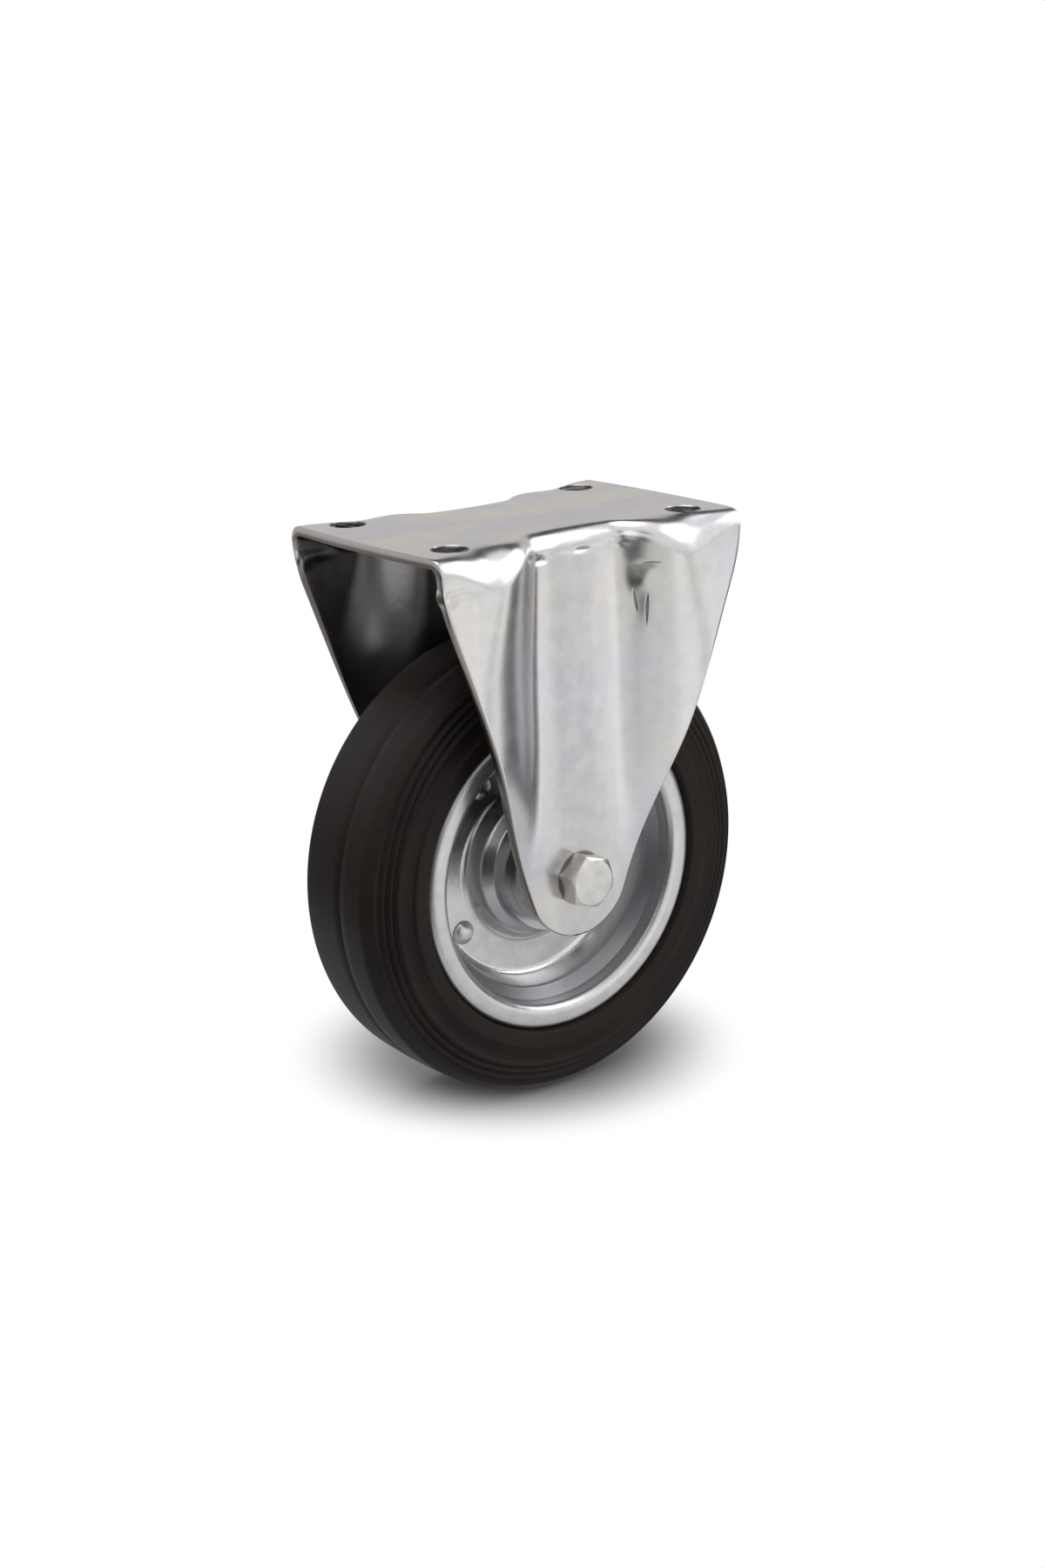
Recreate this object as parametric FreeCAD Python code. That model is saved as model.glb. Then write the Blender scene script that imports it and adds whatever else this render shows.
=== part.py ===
import FreeCAD, Part
import math
import os

# Fixed castor: a fork pressed from one sheet, and a rubber tyred wheel on a roller bearing.
# The origin is the middle of the plate's top face. X is the way it rolls, Y is the axle, Z is up.
# Near is the -Y side, where the bolt's head is. All sizes are in millimetres.

# Wheel and fork as a whole
wheel_diameter = 125.0
tyre_width = 36.0
overall_height = 155.5
fork_gap = 42.0
fork_sheet = 2.5

# Plate, seen from above
plate_length = 99.0
plate_width = 67.0
plate_end_bow = 1.5
hole_inset_x = 12.0
hole_inset_y = 11.0
plate_hole = 9.0

# Cheeks: a flat panel runs from the plate to the axle, and a wing stands out on each side of it
panel_half = 12.0
swage_run_top = 18.0
swage_run_low = 27.0
swage_spread = 40.0
swage_hollow = 0.2
swage_crown = 0.75
panel_bend = 4.5
wing_bend = 4.0
wing_straight = 50.0
wing_end = 105.0
shoulder_drop = 5.5
shoulder_round = 4.0
tip_radius = 16.0

# Axle bolt M8 and its self-locking nut
bolt_diameter = 8.0
bolt_hole_clearance = 0.2
across_flats = 13.0
head_turn = -17.0
head_height = 5.8
nut_height = 8.4
nut_hex_height = 5.6
nut_collar_diameter = 11.8
insert_height = 2.2
insert_lip = 0.6
bolt_end = 2.0
hex_chamfer_angle = 30.0
hex_face_share = 0.93
thread_lead_in = 1.2

# Roller bearing in the hub
sleeve_diameter = 16.0
hub_bore = 24.0
hub_diameter = 30.0
hub_play = 0.25
roller_count = 10
rolling_clearance = 0.08
pocket_clearance = 0.2
cage_clearance = 0.5
cage_play = 0.45
cage_end_ring = 1.8
cap_thickness = 2.0
cap_clearance = 0.3
washer_diameter = 29.0
washer_thickness = 1.2
seat_clearance = 0.05

# Rim discs, pressed and riveted back to back
rim_sheet = 2.0
rim_diameter = 88.0
rim_face = 17.0
lip_depth = 2.6
lip_bend = 2.3
flange_width = 5.8
flange_bend = 2.6
dish_step_outer = 37.4
dish_step_inner = 34.0
dish_step_top = 12.4
dish_step_bottom = 9.0
dish_bend = 2.6
web_outer = 32.4
web_inner = 22.0
skirt_outer = 20.0
skirt_height = 6.8
neck_start = 8.8
neck_height = 13.2
hub_bend = 2.4
rivet_count = 4
rivet_circle = 56.0
rivet_diameter = 5.0
rivet_head_diameter = 6.6
rivet_head_height = 1.7
rivet_first_angle = 34.5

# Tyre
tread_width = 24.4
tread_crown = 0.3
shoulder_bend = 4.0
bead_proud = 0.5
bead_outer = 48.7
bead_bend = 1.0
knurl_outer = 52.7
knurl_depth = 0.7
knurl_fall = 0.3
ridge_pitch = 1.95
ridge_count = 3
ridge_depth = 0.5
shoulder_radius_at = 59.2
shoulder_height = 15.3
shoulder_groove = 0.6
tyre_nose_half = 1.5

# Values that follow
axle_drop = overall_height - wheel_diameter / 2
panel_face = fork_gap / 2 + fork_sheet
wing_step = plate_width / 2 - panel_face
hole_pitch_x = plate_length - 2 * hole_inset_x
hole_pitch_y = plate_width - 2 * hole_inset_y
cheek_reach = axle_drop + tip_radius
hub_length = fork_gap - 2 * (seat_clearance + washer_thickness + hub_play)
cage_length = hub_length - 2 * (seat_clearance + cap_thickness + cage_play)
roller_length = cage_length - 2 * (cage_end_ring + pocket_clearance)
roller_circle = (sleeve_diameter + hub_bore) / 4
roller_radius = (hub_bore - sleeve_diameter) / 4 - rolling_clearance
rim_neck = hub_diameter / 2 + seat_clearance + rim_sheet

# Steps of the formed sheet's surface, and the allowance that its top is faced off by
steps_along = 48
steps_across = 8
steps_round = 6
steps_down = 14
facing_allowance = 0.08
probe = 0.01

axle_line = FreeCAD.Vector(0, 1, 0)
axle_point = FreeCAD.Vector(0, 0, -axle_drop)


def at(radius, y):
    """A point of a turned section: radius from the axle, y along it."""
    return FreeCAD.Vector(radius, y, -axle_drop)


def corner_cut(before, here, after, radius):
    """Where an arc of that radius starts, its middle, and where it ends."""
    back = (before - here).normalize()
    on = (after - here).normalize()
    half = back.getAngle(on) / 2
    middle = (back + on).normalize() * (radius / math.sin(half) - radius)
    reach = radius / math.tan(half)
    return here + back * reach, here + middle, here + on * reach


def rounded(corners, closed=False):
    """Edges along corners of (radius, y, bend), each corner turned by its bend."""
    points = [at(radius, y) for radius, y, bend in corners]
    count = len(points)
    cuts = []
    for i, here in enumerate(points):
        bend = corners[i][2]
        if bend == 0 or (not closed and i in (0, count - 1)):
            cuts.append((here, None, here))
        else:
            cuts.append(corner_cut(points[i - 1], here, points[(i + 1) % count], bend))
    edges = []
    for i, (start, middle, end) in enumerate(cuts):
        if middle:
            edges.append(Part.Arc(start, middle, end).toShape())
        if closed or i + 1 < count:
            edges.append(Part.makeLine(end, cuts[(i + 1) % count][0]))
    return edges


def beside(corners, gap):
    """The same line of corners, moved by gap to the left of the way it runs."""
    moved = []
    last = len(corners) - 1
    for i, (radius, y, bend) in enumerate(corners):
        a = corners[max(i - 1, 0)]
        b = corners[max(i, 1)]
        c = corners[min(i, last - 1)]
        d = corners[min(i + 1, last)]
        way_in = FreeCAD.Vector(b[0] - a[0], b[1] - a[1], 0).normalize()
        way_out = FreeCAD.Vector(d[0] - c[0], d[1] - c[1], 0).normalize()
        side = FreeCAD.Vector(-way_in.y - way_out.y, way_in.x + way_out.x, 0)
        shift = side * (gap / (1 + way_in.dot(way_out)))
        to_left = way_in.cross(way_out).z > 0
        moved_bend = max(bend - gap if to_left else bend + gap, 0) if bend else 0
        moved.append((radius + shift.x, y + shift.y, moved_bend))
    return moved


def turned(edges):
    """A solid of revolution about the axle, from a closed section."""
    section = Part.Face(Part.Wire(Part.__sortEdges__(edges)))
    return section.revolve(axle_point, axle_line, 360)


def turned_corners(corners):
    return turned(rounded(corners, closed=True))


def ring(inner, outer, start, end):
    """A plain turned ring between two diameters."""
    return turned_corners(
        [(inner / 2, start, 0), (outer / 2, start, 0), (outer / 2, end, 0), (inner / 2, end, 0)]
    )


def rod(diameter, start, end):
    length = end - start
    return Part.makeCylinder(diameter / 2, length, FreeCAD.Vector(0, start, -axle_drop), axle_line)


def far_side(near_shape):
    """The mirror image on the other side of the wheel."""
    return near_shape.mirror(FreeCAD.Vector(0, 0, 0), axle_line)


def ease(share):
    """Half a cosine wave from 0 to 1."""
    held = min(max(share, 0.0), 1.0)
    return (1 - math.cos(math.pi * held)) / 2


def flare(x, drop):
    """0 on the flat panel, 1 on the wings: a tight hollow, then a crown that broadens downwards."""
    run = swage_run_top + (swage_run_low - swage_run_top) * ease(drop / swage_spread)
    share = min(max((abs(x) - panel_half) / run, 0.0), 1.0)
    steep = 1 / (1 - swage_hollow / 2 - swage_crown / 2)
    if share < swage_hollow:
        return steep * share ** 2 / (2 * swage_hollow)
    if share > 1 - swage_crown:
        return 1 - steep * (1 - share) ** 2 / (2 * swage_crown)
    return steep * (share - swage_hollow / 2)


def cheek_face(x, drop):
    """How far the cheek's outer face stands from the middle, at x and at a drop below the plate."""
    fade = ease((drop - wing_straight) / (wing_end - wing_straight))
    return panel_face + flare(x, drop) * wing_step * (1 - fade)


def sheet_face(x, run):
    """The outer face of the formed sheet. run is 0 to 1 on the plate, to 2 round the bend, to 3 down the cheek."""
    side = math.copysign(1, run)
    run = abs(run)
    bend = panel_bend + flare(x, 0) * (wing_bend - panel_bend)
    flat = cheek_face(x, bend) - bend
    if run <= 1:
        y, drop = flat * run, 0
    elif run <= 2:
        angle = (run - 1) * math.pi / 2
        y, drop = flat + bend * math.sin(angle), bend * (1 - math.cos(angle))
    else:
        drop = bend + (cheek_reach + fork_sheet - bend) * (run - 2)
        y = cheek_face(x, drop)
    return FreeCAD.Vector(x, side * y, facing_allowance - drop)


def sheet_back(x, run):
    """The inner face: one sheet thickness in from the outer one, square to it."""
    along = sheet_face(x + probe, run) - sheet_face(x - probe, run)
    across = sheet_face(x, run + probe) - sheet_face(x, run - probe)
    outward = along.cross(across).normalize()
    return sheet_face(x, run) - outward * (fork_sheet + facing_allowance * outward.z)


def surface_runs():
    """The runs at which the sheet's surface is worked out, from the near tip to the far tip."""
    half = [i / steps_across for i in range(steps_across)]
    half += [1 + i / steps_round for i in range(steps_round)]
    half += [2 + i / steps_down for i in range(steps_down + 1)]
    return [-run for run in reversed(half[1:])] + half


def formed_sheet():
    """The whole U of sheet, before its outline is cut."""
    reach = plate_length / 2 + fork_sheet
    stations = [reach * (2 * i / steps_along - 1) for i in range(steps_along + 1)]
    runs = surface_runs()
    faces = []
    for layer in (sheet_face, sheet_back):
        surface = Part.BSplineSurface()
        surface.interpolate([[layer(x, run) for run in runs] for x in stations])
        faces.append(surface.toShape())
    outer_edges = faces[0].Edges
    inner_edges = faces[1].Edges
    for outer, inner in zip(outer_edges, inner_edges):
        faces.append(Part.makeRuledSurface(outer, inner))
    shell = Part.makeShell(faces)
    shell.sewShape()
    solid = Part.makeSolid(shell)
    if solid.Volume < 0:
        solid.reverse()
    return solid


def side_outline():
    """The fork seen from the side: straight shoulders, sloping edges and a round tip about the axle."""
    half = plate_length / 2
    shoulder = FreeCAD.Vector(half, 0, -shoulder_drop)
    to_axle = axle_point - shoulder
    lean = math.asin(tip_radius / to_axle.Length)
    slope = math.atan2(half, axle_drop - shoulder_drop) - lean
    touch = FreeCAD.Vector(tip_radius * math.cos(slope), 0, -axle_drop - tip_radius * math.sin(slope))
    tip = FreeCAD.Vector(0, 0, -axle_drop - tip_radius)
    top = FreeCAD.Vector(half, 0, fork_sheet)
    start, middle, end = corner_cut(top, shoulder, touch, shoulder_round)
    flip = FreeCAD.Matrix()
    flip.A11 = -1
    right = [top, start, middle, end, touch]
    left = [flip.multVec(point) for point in right]
    edges = [
        Part.makeLine(left[0], right[0]),
        Part.makeLine(right[0], right[1]),
        Part.Arc(right[1], right[2], right[3]).toShape(),
        Part.makeLine(right[3], right[4]),
        Part.Arc(right[4], tip, left[4]).toShape(),
        Part.makeLine(left[4], left[3]),
        Part.Arc(left[3], left[2], left[1]).toShape(),
        Part.makeLine(left[1], left[0]),
    ]
    face = Part.Face(Part.Wire(edges))
    face.translate(FreeCAD.Vector(0, -plate_width, 0))
    return face.extrude(FreeCAD.Vector(0, 2 * plate_width, 0))


def plan_outline():
    """The fork seen from above: its two ends are bowed outwards a little."""
    end = plate_length / 2
    corner = end - plate_end_bow
    side = plate_width / 2 + fork_sheet
    points = [
        FreeCAD.Vector(corner, -side, 0),
        FreeCAD.Vector(end, 0, 0),
        FreeCAD.Vector(corner, side, 0),
        FreeCAD.Vector(-corner, side, 0),
        FreeCAD.Vector(-end, 0, 0),
        FreeCAD.Vector(-corner, -side, 0),
    ]
    edges = [
        Part.Arc(points[0], points[1], points[2]).toShape(),
        Part.makeLine(points[2], points[3]),
        Part.Arc(points[3], points[4], points[5]).toShape(),
        Part.makeLine(points[5], points[0]),
    ]
    face = Part.Face(Part.Wire(edges))
    face.translate(FreeCAD.Vector(0, 0, fork_sheet))
    return face.extrude(FreeCAD.Vector(0, 0, -2 * cheek_reach))


def facing_block():
    """What stands above the plate's top face, and is cut away to make it flat."""
    corner = FreeCAD.Vector(-plate_length, -plate_width, 0)
    return Part.makeBox(2 * plate_length, 2 * plate_width, 2 * fork_sheet, corner)


def fork():
    """Pressed fork: faced flat on top, cut to its outlines, and pierced."""
    shape = formed_sheet().common(side_outline()).common(plan_outline()).cut(facing_block())
    for x in (-hole_pitch_x / 2, hole_pitch_x / 2):
        for y in (-hole_pitch_y / 2, hole_pitch_y / 2):
            start = FreeCAD.Vector(x, y, -2 * fork_sheet)
            shape = shape.cut(Part.makeCylinder(plate_hole / 2, 4 * fork_sheet, start))
    hole = bolt_diameter + 2 * bolt_hole_clearance
    return shape.cut(rod(hole, -plate_width, plate_width))


def hexagon(height, start):
    """A hexagonal prism along the axle, turned as the tightened bolt stands."""
    corner = across_flats / 2 / math.cos(math.pi / 6)
    points = []
    for i in range(7):
        angle = math.radians(head_turn) + i * math.pi / 3
        points.append(FreeCAD.Vector(corner * math.cos(angle), start, -axle_drop + corner * math.sin(angle)))
    return Part.Face(Part.makePolygon(points)).extrude(axle_line * height)


def chamfer_body(face, depth):
    """What a chamfered hexagon is turned to: a cone that opens from its end face, depth long."""
    small = across_flats / 2 * hex_face_share
    large = small + abs(depth) / math.tan(math.radians(hex_chamfer_angle))
    return turned_corners([(0, face, 0), (small, face, 0), (large, face + depth, 0), (0, face + depth, 0)])


def axle_bolt():
    """Hexagon head on the near cheek, shank through the sleeve and the nut."""
    seat = -panel_face - seat_clearance
    head = hexagon(head_height, seat - head_height)
    head = head.common(chamfer_body(seat - head_height, head_height))
    end = panel_face + nut_height + bolt_end
    point = bolt_diameter / 2 - thread_lead_in
    shank = turned_corners(
        [
            (0, seat, 0),
            (bolt_diameter / 2, seat, 0),
            (bolt_diameter / 2, end - thread_lead_in, 0),
            (point, end, 0),
            (0, end, 0),
        ]
    )
    return head.fuse(shank)


def nut_bore():
    return bolt_diameter + 2 * seat_clearance


def axle_nut():
    """Hexagon nut on the far cheek, with a round collar that holds the nylon ring."""
    seat = panel_face + seat_clearance
    hex_end = seat + nut_hex_height
    top = seat + nut_height - seat_clearance
    collar = nut_collar_diameter / 2
    body = hexagon(nut_hex_height, seat).common(chamfer_body(hex_end, -nut_hex_height))
    collar_bend = (top - hex_end) / 3
    body = body.fuse(
        turned_corners([(0, seat, 0), (collar, seat, 0), (collar, top, collar_bend), (0, top, 0)])
    )
    body = body.cut(rod(nut_bore(), seat - fork_sheet, top + fork_sheet))
    pocket_end = top - insert_lip
    pocket = nut_collar_diameter - 2 * insert_lip - 2 * seat_clearance
    return body.cut(rod(pocket + 2 * seat_clearance, pocket_end - insert_height, pocket_end))


def nut_insert():
    """The nylon ring in the nut's collar."""
    top = panel_face + nut_height - insert_lip - seat_clearance
    outer = nut_collar_diameter - 2 * insert_lip - 2 * seat_clearance
    return ring(nut_bore(), outer, top - insert_height + 2 * seat_clearance, top)


def axle_sleeve():
    """The tube that the bolt clamps between the cheeks. The rollers run on it."""
    reach = fork_gap / 2 - seat_clearance
    return ring(bolt_diameter + 2 * bolt_hole_clearance, sleeve_diameter, -reach, reach)


def thrust_washer_near():
    """A flat ring between the hub's end and the cheek."""
    start = -fork_gap / 2 + seat_clearance
    return ring(sleeve_diameter + 2 * pocket_clearance, washer_diameter, start, start + washer_thickness)


def hub_tube():
    return ring(hub_bore, hub_diameter, -hub_length / 2, hub_length / 2)


def bearing_cap_near():
    """The ring that closes the hub's bore and keeps the cage in it."""
    start = -hub_length / 2 + seat_clearance
    inner = sleeve_diameter + 2 * cap_clearance
    return ring(inner, hub_bore - 2 * seat_clearance, start, start + cap_thickness)


def roller_place(index):
    angle = 2 * math.pi * index / roller_count
    return FreeCAD.Vector(roller_circle * math.cos(angle), 0, roller_circle * math.sin(angle) - axle_drop)


def roller(index):
    start = roller_place(index) - axle_line * (roller_length / 2)
    return Part.makeCylinder(roller_radius, roller_length, start, axle_line)


def bearing_cage():
    """A ring with one through pocket for each roller."""
    inner = sleeve_diameter + 2 * cage_clearance
    outer = hub_bore - 2 * cage_clearance
    shape = ring(inner, outer, -cage_length / 2, cage_length / 2)
    pocket = roller_length + 2 * pocket_clearance
    for index in range(roller_count):
        start = roller_place(index) - axle_line * (pocket / 2)
        shape = shape.cut(Part.makeCylinder(roller_radius + pocket_clearance, pocket, start, axle_line))
    return shape


def dish_line():
    """The wall of a rim disc that faces outwards, from the web to the lip, on the far side."""
    lip = rim_diameter / 2
    return [
        (web_outer, rim_sheet, dish_bend / 2),
        (dish_step_inner, dish_step_bottom, dish_bend),
        (dish_step_outer, dish_step_top, dish_bend / 4),
        (lip - flange_width, rim_face, flange_bend),
        (lip, rim_face, lip_bend),
        (lip, rim_face - lip_depth, 0),
    ]


def disc_line():
    """The whole outward face of a far rim disc, from the hub's neck to the lip."""
    return [
        (rim_neck, neck_height, 0),
        (rim_neck, neck_start, hub_bend / 2),
        (skirt_outer, skirt_height, hub_bend),
        (web_inner, rim_sheet, hub_bend),
    ] + dish_line()


def rivet_places():
    places = []
    for index in range(rivet_count):
        angle = math.radians(rivet_first_angle + 360 / rivet_count * index)
        radius = rivet_circle / 2
        places.append((radius * math.cos(angle), radius * math.sin(angle)))
    return places


def rim_disc_far():
    """Pressed disc: lip, flange, stepped dish, flat web and a neck round the hub tube."""
    face = disc_line()
    back = beside(face, -rim_sheet)
    edges = rounded(face) + rounded(back)
    edges.append(Part.makeLine(at(*face[0][:2]), at(*back[0][:2])))
    edges.append(Part.makeLine(at(*face[-1][:2]), at(*back[-1][:2])))
    disc = turned(edges)
    for x, z in rivet_places():
        start = FreeCAD.Vector(x, -rim_sheet, z - axle_drop)
        hole = rivet_diameter / 2 + seat_clearance
        disc = disc.cut(Part.makeCylinder(hole, 3 * rim_sheet, start, axle_line))
    return disc


def rivet_head(side):
    """A domed head on the face of one disc, as part of a ball."""
    radius = rivet_head_diameter / 2
    ball = (radius ** 2 + rivet_head_height ** 2) / (2 * rivet_head_height)
    face = side * (rim_sheet + seat_clearance)
    centre = FreeCAD.Vector(0, face - side * (ball - rivet_head_height), 0)
    stock = Part.makeCylinder(radius, rivet_head_height, FreeCAD.Vector(0, face, 0), axle_line * side)
    return Part.makeSphere(ball, centre).common(stock)


def rim_rivets():
    """The rivets that hold the two discs together, each headed on both sides."""
    reach = rim_sheet + seat_clearance
    shank = Part.makeCylinder(rivet_diameter / 2, 2 * reach, FreeCAD.Vector(0, -reach, 0), axle_line)
    rivet = shank.fuse(rivet_head(1)).fuse(rivet_head(-1))
    rivets = []
    for x, z in rivet_places():
        copy = rivet.copy()
        copy.translate(FreeCAD.Vector(x, 0, z - axle_drop))
        rivets.append(copy)
    return Part.makeCompound(rivets)


def tyre_seat():
    """The far half of the tyre's inner line, which lies on the back of the rim disc and round its lip."""
    back = beside(dish_line(), -rim_sheet - seat_clearance)
    foot, knee = back[0], back[1]
    share = (tyre_nose_half - foot[1]) / (knee[1] - foot[1])
    nose = (foot[0] + share * (knee[0] - foot[0]), tyre_nose_half, 0)
    lip = rim_diameter / 2 + seat_clearance
    lip_end = rim_face - lip_depth - seat_clearance
    return [nose] + back[1:-1] + [(back[-1][0], lip_end, 0), (lip, lip_end, 0)]


def tyre_side():
    """The far half of the tyre's outer line: bead, knurled band, ridges, shoulder and half the tread."""
    lip = rim_diameter / 2 + seat_clearance
    bead = rim_face + bead_proud
    tread = wheel_diameter / 2
    line = [
        (lip, rim_face - lip_bend / 2, 0),
        (lip + bead_proud, bead, 0),
        (bead_outer, tyre_width / 2, bead_bend),
        (bead_outer + knurl_depth, tyre_width / 2 - knurl_depth, 0),
        (knurl_outer, tyre_width / 2 - knurl_depth - knurl_fall, 0),
    ]
    fall = (tyre_width / 2 - knurl_depth - shoulder_height) / (shoulder_radius_at - knurl_outer)
    for index in range(ridge_count):
        base = knurl_outer + ridge_pitch * index
        height = tyre_width / 2 - knurl_depth - fall * (base - knurl_outer)
        line.append((base + ridge_pitch / 2, height + ridge_depth - knurl_fall, 0))
        line.append((base + ridge_pitch, height - ridge_pitch * fall - knurl_fall, 0))
    line.append((shoulder_radius_at + shoulder_groove, shoulder_height, 0))
    line.append((tread - tread_crown, tread_width / 2, shoulder_bend / 2))
    line.append((tread, tread_width / 6, 0))
    return line


def tyre():
    """Solid rubber tyre, moulded in the groove between the two discs."""
    half = tyre_seat() + tyre_side()
    other = [(radius, -y, bend) for radius, y, bend in reversed(half)]
    return turned_corners(half + other)


shapes = {
    "fork": fork(),
    "axle_bolt": axle_bolt(),
    "axle_nut": axle_nut(),
    "nut_insert": nut_insert(),
    "axle_sleeve": axle_sleeve(),
    "thrust_washer_near": thrust_washer_near(),
    "thrust_washer_far": far_side(thrust_washer_near()),
    "hub_tube": hub_tube(),
    "bearing_cap_near": bearing_cap_near(),
    "bearing_cap_far": far_side(bearing_cap_near()),
    "bearing_cage": bearing_cage(),
    "rim_disc_far": rim_disc_far(),
    "rim_disc_near": far_side(rim_disc_far()),
    "rim_rivets": rim_rivets(),
    "tyre": tyre(),
}
for index in range(roller_count):
    shapes[f"roller_{index + 1:02d}"] = roller(index)

os.makedirs("parts", exist_ok=True)
for name, shape in shapes.items():
    shape.exportStep(f"parts/{name}.step")
    print(name, "solids", len(shape.Solids), "volume", round(shape.Volume, 1), "valid", shape.isValid())
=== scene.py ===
import bmesh
import bpy
import math
from mathutils import Matrix, Vector


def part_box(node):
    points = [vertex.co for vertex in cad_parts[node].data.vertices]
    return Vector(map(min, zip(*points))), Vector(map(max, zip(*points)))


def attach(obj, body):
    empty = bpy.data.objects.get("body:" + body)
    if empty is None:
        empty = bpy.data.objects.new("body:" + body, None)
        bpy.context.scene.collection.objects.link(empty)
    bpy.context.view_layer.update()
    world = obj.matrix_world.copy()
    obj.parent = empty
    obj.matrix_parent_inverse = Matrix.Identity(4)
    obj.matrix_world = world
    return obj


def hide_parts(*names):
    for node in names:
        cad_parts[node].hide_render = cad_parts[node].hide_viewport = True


# Fixed castor: a fork pressed from one zinc plated sheet, and a rubber tyred wheel.
# X is the way it rolls, Y is the axle and -Y the near side, Z is up. Metres.

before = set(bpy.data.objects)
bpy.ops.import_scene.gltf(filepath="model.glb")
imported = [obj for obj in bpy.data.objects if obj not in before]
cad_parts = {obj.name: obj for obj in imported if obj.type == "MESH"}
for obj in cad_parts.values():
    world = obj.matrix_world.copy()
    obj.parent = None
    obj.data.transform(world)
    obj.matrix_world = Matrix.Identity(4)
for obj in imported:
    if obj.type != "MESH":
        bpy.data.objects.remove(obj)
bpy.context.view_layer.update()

mm = 0.001

# Sizes read from the frame
fork_low, fork_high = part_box("fork")
tyre_low, tyre_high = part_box("tyre")
rim_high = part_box("rim_disc_far")[1]
bolt_low, bolt_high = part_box("axle_bolt")
nut_low, nut_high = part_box("axle_nut")
insert_low, insert_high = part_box("nut_insert")
washer_low, washer_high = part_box("thrust_washer_far")
tube_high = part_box("hub_tube")[1]
sleeve_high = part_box("axle_sleeve")[1]
half_length = fork_high.x
half_width = fork_high.y
tread_radius = (tyre_high.z - tyre_low.z) / 2 - 0.02 * mm
tyre_half = tyre_high.y
axle_z = (tyre_high.z + tyre_low.z) / 2
axle = Vector((0, 0, axle_z))
axle_way = Vector((0, 1, 0))
axle_drop = -axle_z
tip_radius = axle_z - fork_low.z
rim_radius = rim_high.x
rim_face = rim_high.y
tube_radius = tube_high.x

# Pressed fork
sheet = 2.5 * mm
panel_face = 23.5 * mm
panel_half = 12 * mm
swage_run_top = 18 * mm
swage_run_low = 27 * mm
swage_spread = 40 * mm
swage_hollow = 0.2
swage_crown = 0.75
panel_flat = 3 * mm
panel_lean = 0.20
panel_bend = 4.5 * mm
wing_bend = 4 * mm
wing_straight = 50 * mm
wing_end = 105 * mm
shoulder_drop = 5.5 * mm
corner_blend = 3 * mm
end_bow = 1.5 * mm
hole_pitch = Vector((75 * mm, 45 * mm, 0))
hole_radius = 4.5 * mm
hole_burr = 0.4 * mm
sheet_edge = 0.3 * mm
bolt_clearance = 0.2 * mm
columns = 150
rows = 250
middle_pitch = 0.55
top_pitch = 0.45
flat_share = 0.10
bend_share = 0.21
tip_share = 0.88
bend_swell = 6 * mm
swell_at = 31 * mm
swell_reach = 9 * mm

# Painted shade in the press tool's creases on the cheeks, in mm: x, drop, half width, half height, lean
crease_shade_strokes = [
    (17.4, 20.5, 0.45, 3.4, 0.16), (19.9, 23.0, 0.42, 4.6, 0.0), (20.4, 10.8, 2.4, 0.40, -0.5),
    (-10.6, 6.4, 2.1, 0.8, 0.0), (3.5, 5.6, 2.6, 0.6, 0.0),
]

# Dents of the press tool in the cheeks, in mm: depth, x, drop, half width, half height, lean
press_dents = [
    (0.35, 18.0, 22.0, 2.0, 5.0, 0.0), (-0.50, 18.8, 15.5, 2.2, 2.4, 0.0),
    (0.40, 19.25, 11.0, 2.6, 1.0, 0.5), (0.55, -10.5, 6.4, 2.6, 0.9, 0.0),
    (0.45, 3.5, 5.6, 3.2, 0.8, 0.0), (0.35, 13.0, 5.2, 2.0, 0.9, 0.0),
    (-0.25, -3.5, 6.6, 3.0, 1.2, 0.0), (0.40, -42.0, 8.6, 4.2, 1.0, 0.0),
    (0.50, -45.5, 9.5, 1.2, 1.6, 0.0),
]

# Colours painted on the zinc: shade in the press creases, in the holes, on the faces toward the wheel
# and round the bolt head, and the brown of the sheared edges
crease_shade_grey = (0.15, 0.15, 0.155)
hole_shade_grey = (0.10, 0.10, 0.105)
inside_shade_brown = (0.20, 0.185, 0.175)
edge_brown = (0.25, 0.21, 0.18)
head_ring_shade = (0.09, 0.08, 0.075)

# Wheel
turn_steps = 240
tyre_steps = 400
rivet_count = 4
rivet_ring = 28 * mm
first_rivet = math.radians(34.5)
knurl_inner = 50 * mm
knurl_outer = 52 * mm
knurl_depth = 0.45 * mm
knurl_side = 16 * mm

# Bolt
bolt_radius = 4 * mm
hex_across = 13 * mm
hex_turn = math.radians(-17)
thread_steps = 72

# Sizes in mm, for the sections that are spun about the axle
pressed_wall = 2.0
nut_hex = 5.6
nut_collar = 5.9
collar_lip = 0.6
tube_bore = 12.0
washer_bore = 8.2
rivet_shank = 2.5
ridge_count = 3
first_ridge = 52.7
ridge_pitch = 1.95
shoulder_start = 15.3
ridged_width = 6.5
thread_pitch = 1.25
thread_crest = 3.95
thread_root = 3.3


def slope():
    """The cheek's sloping edge, as its lean from upright."""
    run = axle_drop - shoulder_drop
    reach = math.hypot(half_length, run)
    return math.atan2(half_length, run) - math.asin(tip_radius / reach)


class Wire:
    """One value among some nodes. Sums on it add Math nodes."""

    def __init__(self, nodes, socket):
        self.nodes = nodes
        self.socket = socket

    def __add__(self, other):
        return self.nodes.math("ADD", self, other)

    def __sub__(self, other):
        return self.nodes.math("SUBTRACT", self, other)

    def __mul__(self, other):
        return self.nodes.math("MULTIPLY", self, other)

    def __radd__(self, other):
        return self.nodes.math("ADD", other, self)

    def __rsub__(self, other):
        return self.nodes.math("SUBTRACT", other, self)

    def __rmul__(self, other):
        return self.nodes.math("MULTIPLY", other, self)


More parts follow.
